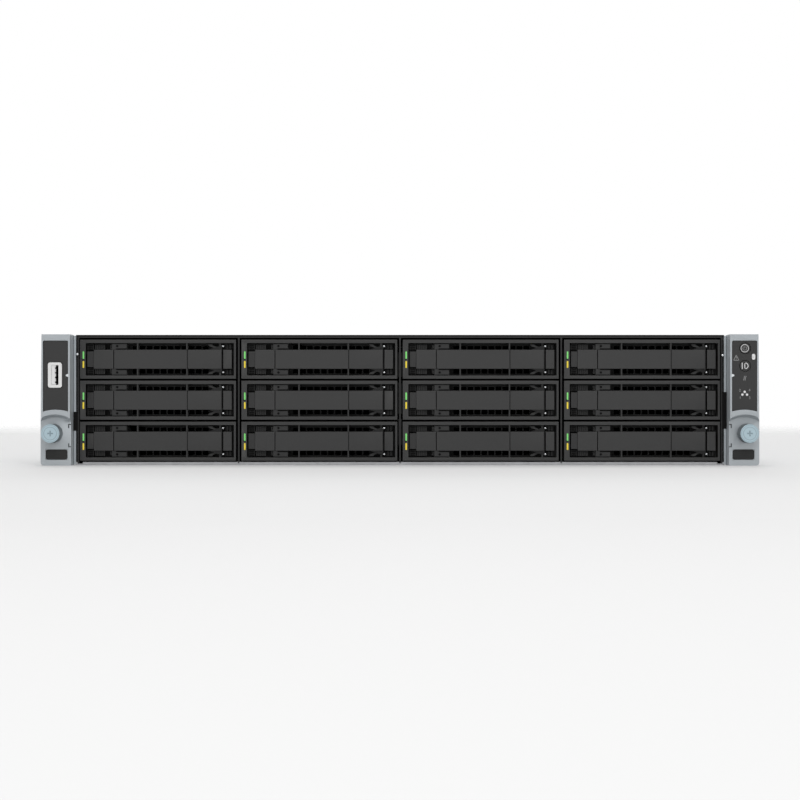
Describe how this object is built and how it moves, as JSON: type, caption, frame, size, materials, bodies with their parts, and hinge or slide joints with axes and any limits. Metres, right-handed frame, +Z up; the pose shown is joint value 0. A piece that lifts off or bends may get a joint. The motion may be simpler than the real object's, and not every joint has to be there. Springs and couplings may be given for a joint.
{
  "type": "2u rack server",
  "caption": "Flat rack-mounted server with a front full of sliding drive carriers, silver ears with thumbscrews, lift-off cover, fans and plug-in power supplies.",
  "frame": {"origin": "middle of the footprint, on the underside of the tray", "axes": "+X to the right seen from the front, +Y to the rear, +Z up; the front faces -Y"},
  "size_m": [0.4826, 0.748, 0.088],
  "materials": {
    "steel_black": "powder coated",
    "steel_bare": "zinc plated",
    "silver_plastic": "silver paint",
    "dark_plastic": "satin",
    "drive_body": "satin moulded front with a metal drive behind",
    "white_plastic": "satin",
    "board_green": "solder mask",
    "sink_metal": "raw fins",
    "supply_metal": "zinc plated",
    "knob_metal": "turned"
  },
  "bodies": {
    "chassis": {"chassis_tray": "steel_bare", "drive_cage": "steel_black", "rack_ears": "silver_plastic", "ear_panels": "dark_plastic", "usb_port": "white_plastic", "backplane": "board_green", "fan_frames": "dark_plastic", "motherboard": "board_green", "heat_sinks": "sink_metal", "memory_modules": "board_green", "air_duct": "dark_plastic", "riser_cards": "board_green", "rear_ports": "steel_bare"},
    "carrier_1": {"drive_carrier_1": "drive_body"},
    "lever_1": {"carrier_lever_1": "dark_plastic"},
    "release_1": {"carrier_button_1": "dark_plastic"},
    "carrier_2": {"drive_carrier_2": "drive_body"},
    "lever_2": {"carrier_lever_2": "dark_plastic"},
    "release_2": {"carrier_button_2": "dark_plastic"},
    "carrier_3": {"drive_carrier_3": "drive_body"},
    "lever_3": {"carrier_lever_3": "dark_plastic"},
    "release_3": {"carrier_button_3": "dark_plastic"},
    "carrier_4": {"drive_carrier_4": "drive_body"},
    "lever_4": {"carrier_lever_4": "dark_plastic"},
    "release_4": {"carrier_button_4": "dark_plastic"},
    "carrier_5": {"drive_carrier_5": "drive_body"},
    "lever_5": {"carrier_lever_5": "dark_plastic"},
    "release_5": {"carrier_button_5": "dark_plastic"},
    "carrier_6": {"drive_carrier_6": "drive_body"},
    "lever_6": {"carrier_lever_6": "dark_plastic"},
    "release_6": {"carrier_button_6": "dark_plastic"},
    "carrier_7": {"drive_carrier_7": "drive_body"},
    "lever_7": {"carrier_lever_7": "dark_plastic"},
    "release_7": {"carrier_button_7": "dark_plastic"},
    "carrier_8": {"drive_carrier_8": "drive_body"},
    "lever_8": {"carrier_lever_8": "dark_plastic"},
    "release_8": {"carrier_button_8": "dark_plastic"},
    "carrier_9": {"drive_carrier_9": "drive_body"},
    "lever_9": {"carrier_lever_9": "dark_plastic"},
    "release_9": {"carrier_button_9": "dark_plastic"},
    "carrier_10": {"drive_carrier_10": "drive_body"},
    "lever_10": {"carrier_lever_10": "dark_plastic"},
    "release_10": {"carrier_button_10": "dark_plastic"},
    "carrier_11": {"drive_carrier_11": "drive_body"},
    "lever_11": {"carrier_lever_11": "dark_plastic"},
    "release_11": {"carrier_button_11": "dark_plastic"},
    "carrier_12": {"drive_carrier_12": "drive_body"},
    "lever_12": {"carrier_lever_12": "dark_plastic"},
    "release_12": {"carrier_button_12": "dark_plastic"},
    "cover": {"top_cover": "steel_black"},
    "latch": {"cover_latch": "dark_plastic"},
    "left_screw": {"left_thumbscrew": "knob_metal"},
    "right_screw": {"right_thumbscrew": "knob_metal"},
    "power_button_cap": {"power_button": "dark_plastic"},
    "id_button_cap": {"id_button": "dark_plastic"},
    "supply_1": {"psu_1": "supply_metal"},
    "supply_2": {"psu_2": "supply_metal"},
    "rotor_1": {"fan_rotor_1": "dark_plastic"},
    "rotor_2": {"fan_rotor_2": "dark_plastic"},
    "rotor_3": {"fan_rotor_3": "dark_plastic"}
  },
  "joints": [
    {"name": "carrier_slide_1", "type": "slide", "parent": "chassis", "child": "carrier_1", "axis": [0, -1, 0], "range_m": [0, 0.16]},
    {"name": "lever_hinge_1", "type": "hinge", "parent": "carrier_1", "child": "lever_1", "pos_m": [-0.1217, -0.3529, 0.07155], "axis": [0, 0, 1], "range_deg": [0, 60]},
    {"name": "release_push_1", "type": "slide", "parent": "carrier_1", "child": "release_1", "axis": [0, 1, 0], "range_m": [0, 0.0012], "stiffness_N_per_m": 600, "springref_m": -0.0005},
    {"name": "carrier_slide_2", "type": "slide", "parent": "chassis", "child": "carrier_2", "axis": [0, -1, 0], "range_m": [0, 0.16]},
    {"name": "lever_hinge_2", "type": "hinge", "parent": "carrier_2", "child": "lever_2", "pos_m": [-0.0127, -0.3529, 0.07155], "axis": [0, 0, 1], "range_deg": [0, 60]},
    {"name": "release_push_2", "type": "slide", "parent": "carrier_2", "child": "release_2", "axis": [0, 1, 0], "range_m": [0, 0.0012], "stiffness_N_per_m": 600, "springref_m": -0.0005},
    {"name": "carrier_slide_3", "type": "slide", "parent": "chassis", "child": "carrier_3", "axis": [0, -1, 0], "range_m": [0, 0.16]},
    {"name": "lever_hinge_3", "type": "hinge", "parent": "carrier_3", "child": "lever_3", "pos_m": [0.0963, -0.3529, 0.07155], "axis": [0, 0, 1], "range_deg": [0, 60]},
    {"name": "release_push_3", "type": "slide", "parent": "carrier_3", "child": "release_3", "axis": [0, 1, 0], "range_m": [0, 0.0012], "stiffness_N_per_m": 600, "springref_m": -0.0005},
    {"name": "carrier_slide_4", "type": "slide", "parent": "chassis", "child": "carrier_4", "axis": [0, -1, 0], "range_m": [0, 0.16]},
    {"name": "lever_hinge_4", "type": "hinge", "parent": "carrier_4", "child": "lever_4", "pos_m": [0.2053, -0.3529, 0.07155], "axis": [0, 0, 1], "range_deg": [0, 60]},
    {"name": "release_push_4", "type": "slide", "parent": "carrier_4", "child": "release_4", "axis": [0, 1, 0], "range_m": [0, 0.0012], "stiffness_N_per_m": 600, "springref_m": -0.0005},
    {"name": "carrier_slide_5", "type": "slide", "parent": "chassis", "child": "carrier_5", "axis": [0, -1, 0], "range_m": [0, 0.16]},
    {"name": "lever_hinge_5", "type": "hinge", "parent": "carrier_5", "child": "lever_5", "pos_m": [-0.1217, -0.3529, 0.04385], "axis": [0, 0, 1], "range_deg": [0, 60]},
    {"name": "release_push_5", "type": "slide", "parent": "carrier_5", "child": "release_5", "axis": [0, 1, 0], "range_m": [0, 0.0012], "stiffness_N_per_m": 600, "springref_m": -0.0005},
    {"name": "carrier_slide_6", "type": "slide", "parent": "chassis", "child": "carrier_6", "axis": [0, -1, 0], "range_m": [0, 0.16]},
    {"name": "lever_hinge_6", "type": "hinge", "parent": "carrier_6", "child": "lever_6", "pos_m": [-0.0127, -0.3529, 0.04385], "axis": [0, 0, 1], "range_deg": [0, 60]},
    {"name": "release_push_6", "type": "slide", "parent": "carrier_6", "child": "release_6", "axis": [0, 1, 0], "range_m": [0, 0.0012], "stiffness_N_per_m": 600, "springref_m": -0.0005},
    {"name": "carrier_slide_7", "type": "slide", "parent": "chassis", "child": "carrier_7", "axis": [0, -1, 0], "range_m": [0, 0.16]},
    {"name": "lever_hinge_7", "type": "hinge", "parent": "carrier_7", "child": "lever_7", "pos_m": [0.0963, -0.3529, 0.04385], "axis": [0, 0, 1], "range_deg": [0, 60]},
    {"name": "release_push_7", "type": "slide", "parent": "carrier_7", "child": "release_7", "axis": [0, 1, 0], "range_m": [0, 0.0012], "stiffness_N_per_m": 600, "springref_m": -0.0005},
    {"name": "carrier_slide_8", "type": "slide", "parent": "chassis", "child": "carrier_8", "axis": [0, -1, 0], "range_m": [0, 0.16]},
    {"name": "lever_hinge_8", "type": "hinge", "parent": "carrier_8", "child": "lever_8", "pos_m": [0.2053, -0.3529, 0.04385], "axis": [0, 0, 1], "range_deg": [0, 60]},
    {"name": "release_push_8", "type": "slide", "parent": "carrier_8", "child": "release_8", "axis": [0, 1, 0], "range_m": [0, 0.0012], "stiffness_N_per_m": 600, "springref_m": -0.0005},
    {"name": "carrier_slide_9", "type": "slide", "parent": "chassis", "child": "carrier_9", "axis": [0, -1, 0], "range_m": [0, 0.16]},
    {"name": "lever_hinge_9", "type": "hinge", "parent": "carrier_9", "child": "lever_9", "pos_m": [-0.1217, -0.3529, 0.01615], "axis": [0, 0, 1], "range_deg": [0, 60]},
    {"name": "release_push_9", "type": "slide", "parent": "carrier_9", "child": "release_9", "axis": [0, 1, 0], "range_m": [0, 0.0012], "stiffness_N_per_m": 600, "springref_m": -0.0005},
    {"name": "carrier_slide_10", "type": "slide", "parent": "chassis", "child": "carrier_10", "axis": [0, -1, 0], "range_m": [0, 0.16]},
    {"name": "lever_hinge_10", "type": "hinge", "parent": "carrier_10", "child": "lever_10", "pos_m": [-0.0127, -0.3529, 0.01615], "axis": [0, 0, 1], "range_deg": [0, 60]},
    {"name": "release_push_10", "type": "slide", "parent": "carrier_10", "child": "release_10", "axis": [0, 1, 0], "range_m": [0, 0.0012], "stiffness_N_per_m": 600, "springref_m": -0.0005},
    {"name": "carrier_slide_11", "type": "slide", "parent": "chassis", "child": "carrier_11", "axis": [0, -1, 0], "range_m": [0, 0.16]},
    {"name": "lever_hinge_11", "type": "hinge", "parent": "carrier_11", "child": "lever_11", "pos_m": [0.0963, -0.3529, 0.01615], "axis": [0, 0, 1], "range_deg": [0, 60]},
    {"name": "release_push_11", "type": "slide", "parent": "carrier_11", "child": "release_11", "axis": [0, 1, 0], "range_m": [0, 0.0012], "stiffness_N_per_m": 600, "springref_m": -0.0005},
    {"name": "carrier_slide_12", "type": "slide", "parent": "chassis", "child": "carrier_12", "axis": [0, -1, 0], "range_m": [0, 0.16]},
    {"name": "lever_hinge_12", "type": "hinge", "parent": "carrier_12", "child": "lever_12", "pos_m": [0.2053, -0.3529, 0.01615], "axis": [0, 0, 1], "range_deg": [0, 60]},
    {"name": "release_push_12", "type": "slide", "parent": "carrier_12", "child": "release_12", "axis": [0, 1, 0], "range_m": [0, 0.0012], "stiffness_N_per_m": 600, "springref_m": -0.0005},
    {"name": "cover_lift", "type": "slide", "parent": "chassis", "child": "cover", "axis": [0, 0, 1], "range_m": [0, 0.12]},
    {"name": "latch_hinge", "type": "hinge", "parent": "cover", "child": "latch", "pos_m": [0, 0.2475, 0.0855], "axis": [-1, 0, 0], "range_deg": [0, 80]},
    {"name": "left_screw_turn", "type": "hinge", "parent": "chassis", "child": "left_screw", "pos_m": [-0.23255, -0.3624, 0.0217], "axis": [0, 1, 0], "continuous": true},
    {"name": "right_screw_turn", "type": "hinge", "parent": "chassis", "child": "right_screw", "pos_m": [0.23255, -0.3624, 0.0217], "axis": [0, 1, 0], "continuous": true},
    {"name": "power_button_push", "type": "slide", "parent": "chassis", "child": "power_button_cap", "axis": [0, 1, 0], "range_m": [0, 0.001], "stiffness_N_per_m": 700, "springref_m": -0.0005},
    {"name": "id_button_push", "type": "slide", "parent": "chassis", "child": "id_button_cap", "axis": [0, 1, 0], "range_m": [0, 0.001], "stiffness_N_per_m": 700, "springref_m": -0.0005},
    {"name": "supply_slide_1", "type": "slide", "parent": "chassis", "child": "supply_1", "axis": [0, 1, 0], "range_m": [0, 0.18]},
    {"name": "supply_slide_2", "type": "slide", "parent": "chassis", "child": "supply_2", "axis": [0, 1, 0], "range_m": [0, 0.18]},
    {"name": "rotor_spin_1", "type": "hinge", "parent": "chassis", "child": "rotor_1", "pos_m": [-0.132, -0.126, 0.044], "axis": [0, 1, 0], "continuous": true},
    {"name": "rotor_spin_2", "type": "hinge", "parent": "chassis", "child": "rotor_2", "pos_m": [0, -0.126, 0.044], "axis": [0, 1, 0], "continuous": true},
    {"name": "rotor_spin_3", "type": "hinge", "parent": "chassis", "child": "rotor_3", "pos_m": [0.132, -0.126, 0.044], "axis": [0, 1, 0], "continuous": true}
  ]
}
